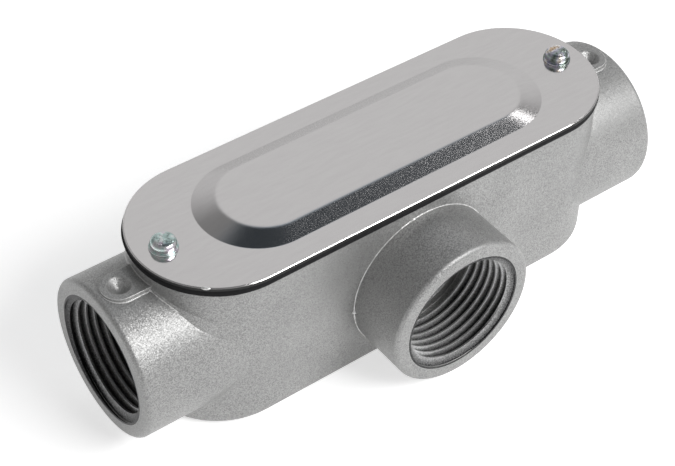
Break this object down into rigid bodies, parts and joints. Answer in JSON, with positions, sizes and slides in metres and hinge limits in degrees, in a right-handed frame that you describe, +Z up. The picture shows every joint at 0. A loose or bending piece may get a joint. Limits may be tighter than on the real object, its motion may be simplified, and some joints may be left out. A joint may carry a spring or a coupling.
{
  "type": "conduit junction box",
  "caption": "T-shaped cast aluminium conduit box with threaded hubs for rigid conduit, a rubber gasket and a stamped cover held by pan head screws.",
  "frame": {"origin": "middle of the flat base that the box rests on, under the crossing of the hub axes", "axes": "+X along the run from the left end hub to the right end hub, -Y out of the side hub, +Z up through the cover"},
  "size_m": [0.1588, 0.0599, 0.0501],
  "materials": {
    "body_paint": "die-cast aluminium with a thin grey metallic paint, satin and slightly sparkling",
    "gasket_rubber": "matt black sheet rubber",
    "cover_sheet": "bare stamped aluminium sheet, satin with a faint lengthwise grain",
    "zinc_screw": "bright zinc plating with a faint blue-green passivation",
    "zinc_washer": "bright zinc plating"
  },
  "bodies": {
    "root": {"body": "body_paint", "gasket": "gasket_rubber", "cover": "cover_sheet", "cover_screw_left": "zinc_screw", "cover_screw_right": "zinc_screw", "screw_washer_left": "zinc_washer", "screw_washer_right": "zinc_washer"}
  },
  "joints": []
}
